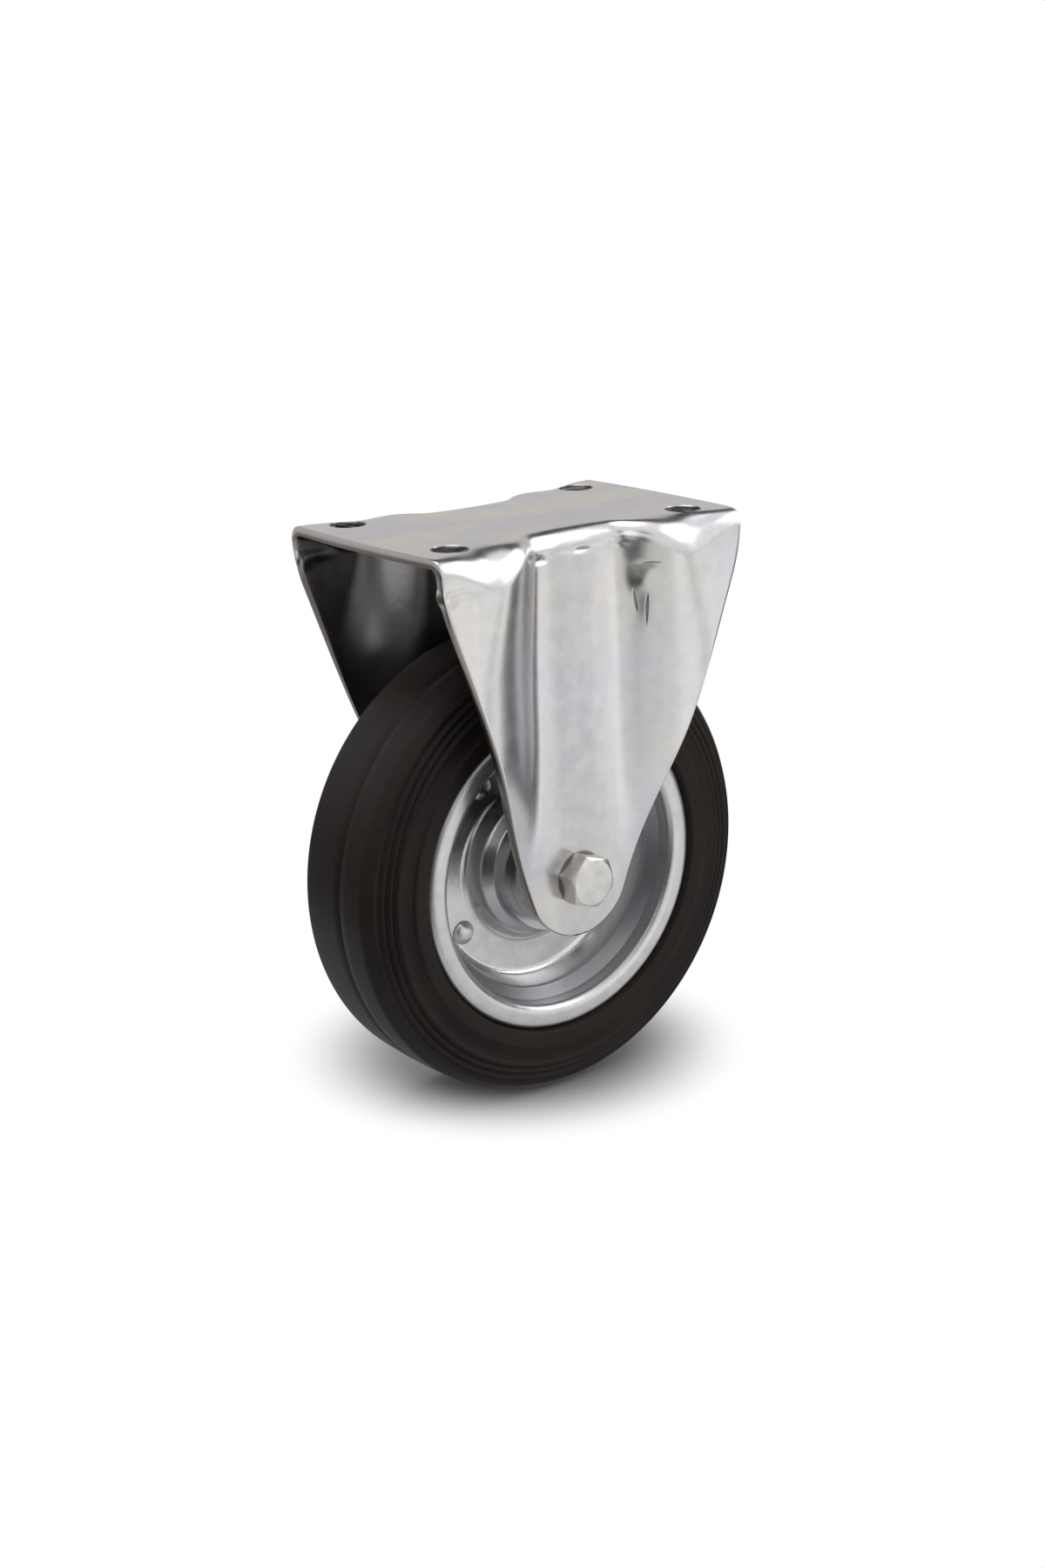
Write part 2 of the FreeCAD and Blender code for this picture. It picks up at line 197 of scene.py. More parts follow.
class Nodes:
    """The nodes of a finish or of the world."""

    def __init__(self, tree):
        self.tree = tree

    def node(self, kind, settings=None, inputs=None, output=0):
        made = self.tree.nodes.new(kind)
        for key, value in (settings or {}).items():
            setattr(made, key, value)
        for key, value in (inputs or {}).items():
            if isinstance(value, Wire):
                self.tree.links.new(value.socket, made.inputs[key])
            else:
                made.inputs[key].default_value = value
        return Wire(self, made.outputs[output])

    def math(self, operation, first, second):
        return self.node("ShaderNodeMath", {"operation": operation}, {0: first, 1: second})

    def ray(self, kind):
        """1 for rays of a kind, such as Camera or Glossy."""
        return self.node("ShaderNodeLightPath", output=f"Is {kind} Ray")


class Finish(Nodes):
    """A surface finish: constants on the shader's own sockets, and nodes for what varies."""

    def __init__(self, name, **constants):
        self.material = bpy.data.materials.new(name)
        self.material.use_nodes = True
        super().__init__(self.material.node_tree)
        self.shader = self.tree.nodes["Principled BSDF"]
        for socket, value in constants.items():
            self.shader.inputs[socket.replace("_", " ")].default_value = value
        self.place = self.node("ShaderNodeTexCoord", output="Object")

    def vector(self, operation, first, second, output=0):
        return self.node("ShaderNodeVectorMath", {"operation": operation}, {0: first, 1: second}, output)

    def stretched(self, x, y, z):
        """The place on the piece, with each way scaled by itself."""
        return self.vector("MULTIPLY", self.place, (x, y, z))

    def away(self, point, ways):
        """How far the place is from a point, counting only the ways given as 1."""
        off = self.vector("MULTIPLY", self.vector("SUBTRACT", self.place, tuple(point)), ways)
        return self.vector("LENGTH", off, (0, 0, 0), output="Value")

    def part(self, way, place=None):
        """One part, X, Y or Z, of the place or of another vector."""
        return self.node("ShaderNodeSeparateXYZ", None, {0: place or self.place}, output=way)

    def from_axle(self):
        """How far the place is from the axle's line."""
        return self.away(axle, (1, 0, 1))

    def cloud(self, scale, detail=3.0, place=None, rough=0.5):
        """Soft noise from 0 to 1."""
        inputs = {"Vector": place or self.place, "Scale": scale, "Detail": detail, "Roughness": rough}
        return self.node("ShaderNodeTexNoise", None, inputs)

    def sharper(self, wire, low, high):
        """The value spread so that low becomes 0 and high becomes 1."""
        return self.node("ShaderNodeMapRange", None, {"Value": wire, "From Min": low, "From Max": high})

    def tint(self, share, first, second):
        """A colour between two colours."""
        settings = {"data_type": "RGBA"}
        inputs = {0: share, 6: first if isinstance(first, Wire) else (*first, 1)}
        inputs[7] = second if isinstance(second, Wire) else (*second, 1)
        return self.node("ShaderNodeMix", settings, inputs, output=2)

    def give(self, socket, wire):
        self.tree.links.new(wire.socket, self.shader.inputs[socket])

    def dents(self, height, depth):
        """Fine relief, depth deep."""
        inputs = {"Strength": 1.0, "Distance": depth, "Height": height}
        self.give("Normal", self.node("ShaderNodeBump", None, inputs, output="Normal"))


def stroke(finish, at_x, at_drop, wide, high, lean):
    """A short stroke of painted crease shade on both cheeks, 1 inside it. lean is its shift in X for
    each mm of height.
    """
    middle_of = (at_x * mm, 0.0, -at_drop * mm)
    off = finish.vector("SUBTRACT", finish.place, middle_of)
    sheared = finish.part("X", off)
    sunk = finish.part("Z", off)
    sheared = (sheared + lean * sunk) * (1 / (wide * mm))
    sunk = sunk * (1 / (high * mm))
    return finish.sharper(sheared * sheared + sunk * sunk, 1.0, 0.35)


def shaded_hole_walls(finish):
    """1 on the punched walls of the plate's four holes, where shade is painted."""
    x = finish.math("ABSOLUTE", finish.part("X"), 0.0) - hole_pitch.x / 2
    y = finish.math("ABSOLUTE", finish.part("Y"), 0.0) - hole_pitch.y / 2
    off = finish.math("SQRT", x * x + y * y, 0.0)
    return finish.sharper(off, hole_radius + 0.45 * mm, hole_radius + 0.15 * mm)


def sheared_end(finish):
    """1 on the sheet's cut ends: the plate's bowed ends and the cheeks' sloping edges."""
    x = finish.math("ABSOLUTE", finish.part("X"), 0.0)
    y = finish.part("Y")
    drop = 0.0 - finish.part("Z")
    lean = slope()
    past_slope = (x - half_length) * math.cos(lean) + (drop - shoulder_drop) * math.sin(lean)
    past_end = x - half_length + y * y * (end_bow / half_width ** 2)
    return finish.sharper(finish.math("MAXIMUM", past_slope, past_end), -0.35 * mm, -0.10 * mm)


def zinc_sheet(name, pale, dull, warm, cool, rough, stain):
    """Bright zinc plate on drawn sheet: upright drawing bands, a faint rainbow and small stains, with
    painted shade in the creases, in the holes, on the faces toward the wheel and round the bolt head.
    """
    finish = Finish(name, Metallic=1.0)
    bands = finish.cloud(60.0, 2.0, finish.stretched(1.6, 1.6, 0.12))
    mottle = finish.cloud(240.0, 5.0)
    patches = finish.cloud(38.0, 3.0)
    grey = finish.tint(finish.sharper(bands * 0.6 + mottle * 0.4, 0.35, 0.65), dull, pale)
    hue = finish.tint(finish.sharper(patches, 0.38, 0.62), warm, cool)
    multiply = {"data_type": "RGBA", "blend_type": "MULTIPLY"}
    colour = finish.node("ShaderNodeMix", multiply, {0: 1.0, 6: grey, 7: hue}, output=2)
    top = finish.sharper(finish.part("Z"), -0.30 * mm, -0.02 * mm)
    smear = finish.cloud(22.0, 2.0, finish.stretched(1.0, 2.2, 1.0))
    stained = finish.tint(finish.sharper(smear, 0.42, 0.58), *stain)
    colour = finish.tint(top, colour, stained)
    # Painted shade in the press creases; the same strokes also sink the bump there
    crease_grooves_and_shade = stroke(finish, *crease_shade_strokes[0])
    for sizes in crease_shade_strokes[1:]:
        crease_grooves_and_shade = crease_grooves_and_shade + stroke(finish, *sizes)
    colour = finish.tint(crease_grooves_and_shade * 0.62, colour, crease_shade_grey)
    # Painted shade on the fork's faces toward the wheel, marked by the inside attribute
    inside = finish.node("ShaderNodeAttribute", {"attribute_name": "inside"}, output="Fac")
    colour = finish.tint(inside * 0.6, colour, inside_shade_brown)
    # Painted shade in the bolt holes, over the cut steel's own duller grey
    colour = finish.tint(shaded_hole_walls(finish), colour, hole_shade_grey)
    colour = finish.tint(sheared_end(finish) * 0.7, colour, edge_brown)
    # Painted shade in a ring round the bolt head and the nut, where they meet the cheeks
    shade_round_head = finish.sharper(finish.from_axle(), hex_across / 2 + 1.1 * mm, hex_across / 2 + 0.5 * mm)
    colour = finish.tint(shade_round_head * 0.8, colour, head_ring_shade)
    finish.give("Base Color", colour)
    finish.give("Roughness", rough + 0.10 * (mottle - 0.5) + 0.08 * (bands - 0.5))
    relief = bands * 0.5 + mottle * 0.3 + finish.cloud(900.0, 3.0) * 0.2 - crease_grooves_and_shade * 1.5
    finish.dents(relief, 0.06 * mm)
    return finish.material


def rim_sheet():
    """Zinc plate on a pressed disc: satin on the flange, rougher on the drawn walls, with painted shade
    darkening the walls and the skirt by the hub.
    """
    finish = Finish("rim_zinc", Metallic=1.0)
    radius = finish.from_axle()
    wall = finish.sharper(radius, 32.0 * mm, 34.8 * mm) * finish.sharper(radius, 38.6 * mm, 36.8 * mm)
    skirt = finish.sharper(radius, 22.6 * mm, 21.2 * mm)
    mottle = finish.cloud(240.0, 5.0)
    patches = finish.cloud(38.0, 3.0)
    pale = finish.tint(finish.sharper(mottle, 0.35, 0.65), (0.60, 0.60, 0.60), (0.68, 0.675, 0.67))
    # Painted shade: dark greys on the dish's drawn walls and on the skirt by the hub, for the shade and
    # dark reflections in them
    dull = finish.tint(finish.sharper(patches, 0.38, 0.62), (0.27, 0.27, 0.295), (0.35, 0.35, 0.365))
    skirt_shade_grey = finish.tint(finish.sharper(patches, 0.38, 0.62), (0.46, 0.46, 0.48), (0.56, 0.56, 0.57))
    finish.give("Base Color", finish.tint(skirt, finish.tint(wall, pale, dull), skirt_shade_grey))
    satin = finish.sharper(radius, 38.4 * mm, 39.4 * mm)
    finish.give("Roughness", 0.24 + 0.14 * satin + 0.14 * wall + 0.12 * (mottle - 0.5))
    finish.dents(mottle * 0.5 + finish.cloud(900.0, 3.0) * 0.3 + patches * 0.2, 0.06 * mm)
    return finish.material


def turned_metal(name, pale, dull, rough, groove=0.02 * mm):
    """Plated or ground metal with fine rings from turning."""
    finish = Finish(name, Metallic=1.0)
    rings = finish.cloud(700.0, 2.0, finish.stretched(0.1, 3.0, 0.1))
    mottle = finish.cloud(300.0, 4.0)
    finish.give("Base Color", finish.tint(finish.sharper(mottle, 0.35, 0.65), dull, pale))
    finish.give("Roughness", rough + 0.10 * (mottle - 0.5))
    finish.dents(rings * 0.6 + mottle * 0.4, groove)
    return finish.material


def black_rubber():
    """Solid rubber: dark brown-black with a faint bloom and a fine moulded grain."""
    finish = Finish("black_rubber", Metallic=0.0, Specular_IOR_Level=0.18)
    bloom = finish.cloud(45.0, 5.0)
    grain = finish.cloud(1400.0, 3.0)
    dark = (0.0140, 0.0104, 0.0086)
    dusty = (0.0290, 0.0224, 0.0190)
    dust = finish.sharper(bloom * 0.7 + grain * 0.3, 0.35, 0.70)
    finish.give("Base Color", finish.tint(dust, dark, dusty))
    finish.give("Roughness", 0.52 + 0.18 * (bloom - 0.5) + 0.10 * (grain - 0.5))
    finish.dents(grain * 0.7 + finish.cloud(260.0, 3.0) * 0.3, 0.05 * mm)
    return finish.material


def nylon(name, pale, dark):
    """Moulded plastic with a faint grain."""
    finish = Finish(name, Metallic=0.0)
    grain = finish.cloud(800.0, 3.0)
    finish.give("Base Color", finish.tint(grain, dark, pale))
    finish.give("Roughness", 0.42 + 0.12 * grain)
    finish.dents(grain, 0.02 * mm)
    return finish.material


fork_zinc = zinc_sheet(
    "fork_zinc", pale=(0.70, 0.70, 0.70), dull=(0.58, 0.585, 0.60), warm=(1.0, 0.97, 0.93),
    cool=(0.95, 0.95, 1.0), rough=0.24, stain=((0.68, 0.63, 0.56), (0.60, 0.57, 0.61)))
rim_zinc = rim_sheet()
fastener_zinc = turned_metal("fastener_zinc", (0.72, 0.70, 0.67), (0.60, 0.59, 0.57), 0.30)
ground_steel = turned_metal("ground_steel", (0.56, 0.56, 0.57), (0.45, 0.45, 0.46), 0.22)
tyre_rubber = black_rubber()
white_nylon = nylon("white_nylon", (0.80, 0.79, 0.74), (0.70, 0.69, 0.64))
blue_nylon = nylon("blue_nylon", (0.55, 0.62, 0.70), (0.42, 0.50, 0.60))


def bent_line(bm, corners, closed):
    """A wire in the XY plane at the axle's level, through corners of (radius, y, bend) in mm."""
    count = len(corners)
    places = [Vector((radius * mm, y * mm, axle_z)) for radius, y, bend in corners]
    points = [bm.verts.new(place) for place in places]
    for i in range(count if closed else count - 1):
        bm.edges.new((points[i], points[(i + 1) % count]))
    for i, (radius, y, bend) in enumerate(corners):
        if not bend:
            continue
        back = places[i - 1] - places[i]
        on = places[(i + 1) % count] - places[i]
        half = back.angle(on) / 2
        turn = math.pi - 2 * half
        bmesh.ops.bevel(
            bm, geom=[points[i]], offset=bend * mm / math.tan(half), offset_type="OFFSET",
            segments=max(2, round(turn / math.radians(11))), profile=0.5, affect="VERTICES",
            material=-1, clamp_overlap=False)


def beside(corners, gap):
    """The same line of corners, moved by gap to the left of the way it runs."""
    moved = []
    last = len(corners) - 1
    for i, (radius, y, bend) in enumerate(corners):
        a = corners[max(i - 1, 0)]
        b = corners[max(i, 1)]
        c = corners[min(i, last - 1)]
        d = corners[min(i + 1, last)]
        way_in = Vector((b[0] - a[0], b[1] - a[1])).normalized()
        way_out = Vector((d[0] - c[0], d[1] - c[1])).normalized()
        side = Vector((-way_in.y - way_out.y, way_in.x + way_out.x))
        shift = side * (gap / (1 + way_in.dot(way_out)))
        to_left = way_in.x * way_out.y - way_in.y * way_out.x > 0
        moved_bend = max(bend - gap if to_left else bend + gap, 0) if bend else 0
        moved.append((radius + shift.x, y + shift.y, moved_bend))
    return moved


def turned(corners, steps=turn_steps, closed=True):
    """A mesh of revolution about the axle, from a section of (radius, y, bend) in mm."""
    bm = bmesh.new()
    bent_line(bm, corners, closed)
    bmesh.ops.spin(
        bm, geom=bm.verts[:] + bm.edges[:], cent=axle, axis=axle_way, dvec=(0, 0, 0),
        angle=2 * math.pi, steps=steps, use_merge=True, use_duplicate=False)
    return bm


def finished(name, bm, material, body, nodes, sharp=38.0):
    """A piece of the object: its mesh, finish, body, slot, and the solids it stands for."""
    bmesh.ops.remove_doubles(bm, verts=bm.verts[:], dist=0.002 * mm)
    bmesh.ops.recalc_face_normals(bm, faces=bm.faces[:])
    mesh = bpy.data.meshes.new(name)
    bm.to_mesh(mesh)
    bm.free()
    piece = bpy.data.objects.new(name, mesh)
    bpy.context.scene.collection.objects.link(piece)
    mesh.materials.append(material)
    mesh.shade_smooth()
    mesh.set_sharp_from_angle(angle=math.radians(sharp))
    if body:
        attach(piece, body)
    if nodes:
        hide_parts(*nodes)
    return piece


def baked(piece):
    """Applies a piece's modifiers to its mesh."""
    bpy.context.view_layer.update()
    shown = piece.evaluated_get(bpy.context.evaluated_depsgraph_get())
    mesh = bpy.data.meshes.new_from_object(shown)
    mesh.name = piece.name
    piece.modifiers.clear()
    piece.data = mesh


def cut(piece, cutter, operation="DIFFERENCE"):
    """Cuts a piece by a bmesh."""
    bmesh.ops.recalc_face_normals(cutter, faces=cutter.faces[:])
    mesh = bpy.data.meshes.new("cutter")
    cutter.to_mesh(mesh)
    cutter.free()
    tool = bpy.data.objects.new("cutter", mesh)
    bpy.context.scene.collection.objects.link(tool)
    modifier = piece.modifiers.new("cut", "BOOLEAN")
    modifier.operation = operation
    modifier.solver = "EXACT"
    modifier.object = tool
    baked(piece)
    bpy.data.objects.remove(tool)


def ease(share):
    """Half a cosine wave from 0 to 1."""
    held = min(max(share, 0.0), 1.0)
    return (1 - math.cos(math.pi * held)) / 2


def flare(x, drop):
    """0 in the panel's middle, 1 on the wings: nearly flat, a tight hollow, then a broad crown."""
    run = swage_run_top + (swage_run_low - swage_run_top) * ease(drop / swage_spread)
    reach = panel_half + run
    slopes = [
        (panel_flat, 0.0), (panel_half, panel_lean), (panel_half + swage_hollow * run, 1.0),
        (reach - swage_crown * run, 1.0), (reach, 0.0)]
    risen, whole = 0.0, 0.0
    for (start, before), (end, after) in zip(slopes, slopes[1:]):
        whole += (before + after) / 2 * (end - start)
        part = min(max(abs(x) - start, 0.0), end - start)
        if part > 0:
            here = before + (after - before) * part / (end - start)
            risen += (before + here) / 2 * part
    return risen / whole


def cheek_face(x, drop):
    """How far the cheek's outer face stands from the middle, at a drop below the plate."""
    fade = ease((drop - wing_straight) / (wing_end - wing_straight))
    return panel_face + flare(x, drop) * (half_width - panel_face) * (1 - fade)


def pressing_dents(x, drop):
    """How far the press tool's dents sink into the cheek near the top of the panel."""
    x, drop = x / mm, drop / mm
    sunk = 0.0
    for depth, at_x, at_drop, wide, high, lean in press_dents:
        low = drop - at_drop
        aside = x - at_x - lean * low
        sunk += depth * math.exp(-(aside / wide) ** 2 - (low / high) ** 2)
    return sunk * mm


def cheek_half(drop):
    """Half the cheek's length at a drop: a sloping edge, then the round tip."""
    lean = slope()
    touch = axle_drop + tip_radius * math.sin(lean)
    if drop > touch:
        return math.sqrt(max(tip_radius ** 2 - (drop - axle_drop) ** 2, 0.0))
    return half_length - (drop - shoulder_drop) * math.tan(lean)


def plate_half(y):
    """Half the plate's length at y: its ends are bowed."""
    return half_length - end_bow * (y / half_width) ** 2


def smaller(a, b, blend):
    """The smaller of two values, with the corner between them rounded."""
    near = max(blend - abs(a - b), 0.0) / blend
    return min(a, b) - near * near * blend / 4


def cheek_drop(share):
    """The drop at a share of the cheek's rows: close at the top, wider below, then round the tip."""
    lean = slope()
    touch = axle_drop + tip_radius * math.sin(lean)
    if share < tip_share:
        level = share / tip_share
        return touch * level * (top_pitch + (1 - top_pitch) * level)
    angle = lean + (share - tip_share) / (1 - tip_share) * (math.pi / 2 - lean)
    return axle_drop + tip_radius * math.sin(angle)


def formed(across, along):
    """A point of the sheet's outer face. across and along go from -1 to 1 over the flat blank."""
    side = math.copysign(1, along)
    along = abs(along)
    warp = across * (middle_pitch + (1 - middle_pitch) * across * across)
    x = warp * half_length
    for _ in range(3):
        swell = bend_swell * math.exp(-((abs(x) - swell_at) / swell_reach) ** 2)
        bend = panel_bend + flare(x, 0) * (wing_bend - panel_bend) + swell
        flat = cheek_face(x, bend) - bend
        if along < flat_share:
            y, drop = flat * along / flat_share, 0.0
        elif along < bend_share:
            angle = (along - flat_share) / (bend_share - flat_share) * math.pi / 2
            y, drop = flat + bend * math.sin(angle), bend * (1 - math.cos(angle))
        else:
            share = (along - bend_share) / (1 - bend_share)
            drop = cheek_drop(share) + bend * (1 - share) ** 4
            y = cheek_face(x, drop)
        x = warp * smaller(cheek_half(drop), plate_half(y), corner_blend)
    if along > flat_share:
        y -= pressing_dents(x, drop)
    return Vector((x, side * y, -drop))


def plate_holes(radius, depth, burr):
    """Cutters for the four bolt holes, a little wider at both faces."""
    bm = bmesh.new()
    for x in (-hole_pitch.x / 2, hole_pitch.x / 2):
        for y in (-hole_pitch.y / 2, hole_pitch.y / 2):
            for low, high, bottom, top in (
                (-2 * depth, -depth + burr, radius + burr + depth, radius),
                (-depth + burr, -burr, radius, radius),
                (-burr, depth, radius, radius + burr + depth),
            ):
                made = bmesh.ops.create_cone(
                    bm, cap_ends=True, segments=64, radius1=bottom, radius2=top, depth=high - low)
                bmesh.ops.translate(bm, verts=made["verts"], vec=(x, y, (low + high) / 2))
    return bm


def rod(radius, start, end, segments=96):
    """A bar along the axle, to cut with."""
    bm = bmesh.new()
    place = Matrix.Translation(axle + axle_way * (start + end) / 2)
    bmesh.ops.create_cone(
        bm, cap_ends=True, segments=segments, radius1=radius, radius2=radius, depth=abs(end - start),
        matrix=place @ Matrix.Rotation(math.pi / 2, 4, "X"))
    return bm


def make_fork():
    """The fork: one sheet, bent twice, with a flat panel between two wings on each cheek."""
    bm = bmesh.new()
    bmesh.ops.create_grid(bm, x_segments=columns, y_segments=rows, size=1.0)
    for vertex in bm.verts:
        vertex.co = formed(vertex.co.x, vertex.co.y)
    piece = finished("fork_pressing", bm, fork_zinc, "fork", ["fork"])
    if piece.data.polygons[len(piece.data.polygons) // 2].normal.z < 0:
        piece.data.flip_normals()
    wall = piece.modifiers.new("sheet", "SOLIDIFY")
    wall.thickness = sheet
    wall.offset = -1
    wall.use_even_offset = True
    wall.use_quality_normals = True
    edge = piece.modifiers.new("sheared edge", "BEVEL")
    edge.width = sheet_edge
    edge.segments = 2
    edge.limit_method = "ANGLE"
    edge.angle_limit = math.radians(60)
    edge.use_clamp_overlap = False
    baked(piece)
    cut(piece, plate_holes(hole_radius, sheet, hole_burr))
    cut(piece, rod(bolt_radius + bolt_clearance, -half_width, half_width))
    piece.data.shade_smooth()
    piece.data.set_sharp_from_angle(angle=math.radians(40))
    # Faces that look toward the wheel are marked here, for the painted shade in fork_zinc
    inside = piece.data.attributes.new("inside", "FLOAT", "FACE")
    for face, held in zip(piece.data.polygons, inside.data):
        faces_wheel = face.normal.y * face.center.y < -0.2 * abs(face.center.y)
        held.value = 1.0 if faces_wheel else 0.0


make_fork()

# Rim disc, far side, from the hub's neck to the lip: radius, y and bend in mm
neck = tube_radius / mm + 0.05 + pressed_wall
lip = rim_radius / mm
face = rim_face / mm
rim_line = [
    (neck, 13.2, 0), (neck, 8.8, 1.2), (20, 6.8, 2.4), (22, 2.0, 2.4), (32.4, 2.0, 2.0),
    (34.0, 9.0, 2.6), (37.0, 12.2, 0.65), (lip - 6.5, face, 2.6), (lip, face, 2.3), (lip, face - 2.6, 0),
]


def make_rim_disc(word, side):
    """One of the two pressed discs, which are mirror images."""
    back = beside(rim_line, -pressed_wall)
    line = rim_line + list(reversed(back))
    bm = turned([(radius, side * y, bend) for radius, y, bend in line])
    finished(f"rim_pressing_{word}", bm, rim_zinc, "wheel", [f"rim_disc_{word}"])


make_rim_disc("far", 1)
make_rim_disc("near", -1)


def tyre_line():
    """Half the tyre's section, from the middle of its seat to the middle of its tread."""
    tread = tread_radius / mm
    half = tyre_half / mm
    line = [
        (34.6, 1.5, 0), (36.1, 8.1, 0), (39.5, 11.5, 0), (40.0, 14.9, 0), (41.95, 14.9, 0),
        (41.95, 14.3, 0), (44.05, 14.3, 0), (44.05, 15.9, 0), (44.6, half - 0.45, 0.3),
        (48.7, half, 0.9), (49.3, half - 0.7, 0.15), (50.4, half - 0.75, 0), (51.6, half - 0.85, 0),
        (first_ridge, half - 0.95, 0.1),
    ]
    crest = half - 0.7
    fall = (crest - shoulder_start) / ridged_width
    for index in range(ridge_count):
        base = first_ridge + ridge_pitch * index
        high = crest - fall * ridge_pitch * index
        line.append((base + 1.0, high + 0.25, 0.5))
        line.append((base + ridge_pitch, high - 1.0, 0.1))
    return line + [(59.8, shoulder_start + 0.05, 0.6), (tread - 0.3, 12.2, 2.0), (tread - 0.06, 6.0, 0)]


def make_tyre():
    """Solid rubber: bead, knurled band, three ridges, shoulder, and a parting line on the tread."""
    tread = tread_radius / mm
    far = tyre_line()
    near = [(radius, -y, bend) for radius, y, bend in reversed(far)]
    parting = [(tread, -2.9, 0), (tread - 0.35, -3.3, 0), (tread, -3.7, 0)]
    bm = turned(far + [(tread, 0, 0)] + parting + near, tyre_steps)
    for vertex in bm.verts:
        radius = math.hypot(vertex.co.x, vertex.co.z - axle_z)
        if knurl_inner < radius < knurl_outer and abs(vertex.co.y) > knurl_side:
            angle = math.atan2(vertex.co.z - axle_z, vertex.co.x) / (2 * math.pi) * tyre_steps
            if round(angle) % 2:
                vertex.co.y -= math.copysign(knurl_depth, vertex.co.y)
    finished("tyre_rubber", bm, tyre_rubber, "wheel", ["tyre"], sharp=50)


make_tyre()


def ring(bore, outer, low, high, inner_bend, outer_bend):
    """The section of a plain ring in mm, with its corners rounded."""
    return [
        (bore, low, inner_bend), (outer, low, outer_bend), (outer, high, outer_bend),
        (bore, high, inner_bend)]


def make_rings():
    """The turned pieces in the hub and between the cheeks."""
    tube = tube_high / mm
    barrel = turned(ring(tube_bore, tube.x, -tube.y, tube.y, 0.4, 0.5))
    finished("hub_barrel", barrel, ground_steel, "wheel", ["hub_tube"])
    sleeve = sleeve_high / mm
    bore = (bolt_radius + bolt_clearance) / mm
    spacer = turned(ring(bore, sleeve.x, -sleeve.y, sleeve.y, 0.3, 0.3))
    finished("axle_spacer", spacer, ground_steel, "fork", ["axle_sleeve"])
    washer = ring(washer_bore, washer_high.x / mm, washer_low.y / mm, washer_high.y / mm, 0.2, 0.4)
    for side, word in ((1, "far"), (-1, "near")):
        bm = turned([(radius, side * y, bend) for radius, y, bend in washer])
        finished(f"slip_washer_{word}", bm, white_nylon, "fork", [f"thrust_washer_{word}"])


make_rings()


def make_rivets():
    """Four rivets, domed on both sides, through both discs."""
    bm = bmesh.new()
    dome = [(0, 3.72), (1.9, 3.45), (3.3, 2.35), (3.3, 2.05), (rivet_shank, 2.05)]
    line = dome + [(radius, -y) for radius, y in reversed(dome)]
    points = [bm.verts.new((radius * mm, y * mm, 0)) for radius, y in line]
    for a, b in zip(points, points[1:]):
        bm.edges.new((a, b))
    for corner in (points[1], points[2], points[-3], points[-2]):
        bmesh.ops.bevel(
            bm, geom=[corner], offset=0.6 * mm, offset_type="OFFSET", segments=4, profile=0.5,
            affect="VERTICES", material=-1, clamp_overlap=True)
    bmesh.ops.spin(
        bm, geom=bm.verts[:] + bm.edges[:], cent=(0, 0, 0), axis=axle_way, dvec=(0, 0, 0),
        angle=2 * math.pi, steps=48, use_merge=True, use_duplicate=False)
    bmesh.ops.remove_doubles(bm, verts=bm.verts[:], dist=0.002 * mm)
    first = bm.verts[:] + bm.edges[:] + bm.faces[:]
    for index in range(rivet_count):
        angle = first_rivet + index * 2 * math.pi / rivet_count
        copy = bmesh.ops.duplicate(bm, geom=first)["geom"] if index < rivet_count - 1 else first
        verts = [part for part in copy if isinstance(part, bmesh.types.BMVert)]
        place = axle + rivet_ring * Vector((math.cos(angle), 0, math.sin(angle)))
        bmesh.ops.translate(bm, verts=verts, vec=place)
    finished("rim_rivet_heads", bm, fastener_zinc, "wheel", ["rim_rivets"])


make_rivets()


def hexagon(start, end):
    """A hexagonal bar along the axle, turned as the tightened bolt stands."""
    bm = rod(hex_across / 2 / math.cos(math.pi / 6), start, end, segments=6)
    turn = Matrix.Rotation(math.pi / 6 - hex_turn, 3, "Y")
    bmesh.ops.rotate(bm, verts=bm.verts[:], cent=axle, matrix=turn)
    return bm


def chamfered(piece, face, depth):
    """Turns the corners of a hexagon's end face off at 30 degrees."""
    spread = 1 / math.tan(math.radians(30))
    clear = math.copysign(0.3 * mm, depth)
    small = hex_across / 2 * 0.93 - abs(clear) * spread
    large = small + abs(depth + 2 * clear) * spread
    start, end = face - clear, face + depth + clear
    line = [(0, start, 0), (small, start, 0), (large, end, 0), (0, end, 0)]
    cone = turned([(radius / mm, y / mm, bend) for radius, y, bend in line], 192)
    bmesh.ops.remove_doubles(cone, verts=cone.verts[:], dist=0.002 * mm)
    cut(piece, cone, "INTERSECT")
    edge = piece.modifiers.new("worn edge", "BEVEL")
    edge.width = 0.22 * mm
    edge.segments = 3
    edge.limit_method = "ANGLE"
    edge.angle_limit = math.radians(25)
    baked(piece)
    piece.data.shade_smooth()
    piece.data.set_sharp_from_angle(angle=math.radians(30))


def joined(*shells):
    """One bmesh out of several closed shells."""
    whole = bmesh.new()
    for shell in shells:
        mesh = bpy.data.meshes.new("shell")
        shell.to_mesh(mesh)
        shell.free()
        whole.from_mesh(mesh)
        bpy.data.meshes.remove(mesh)
    return whole


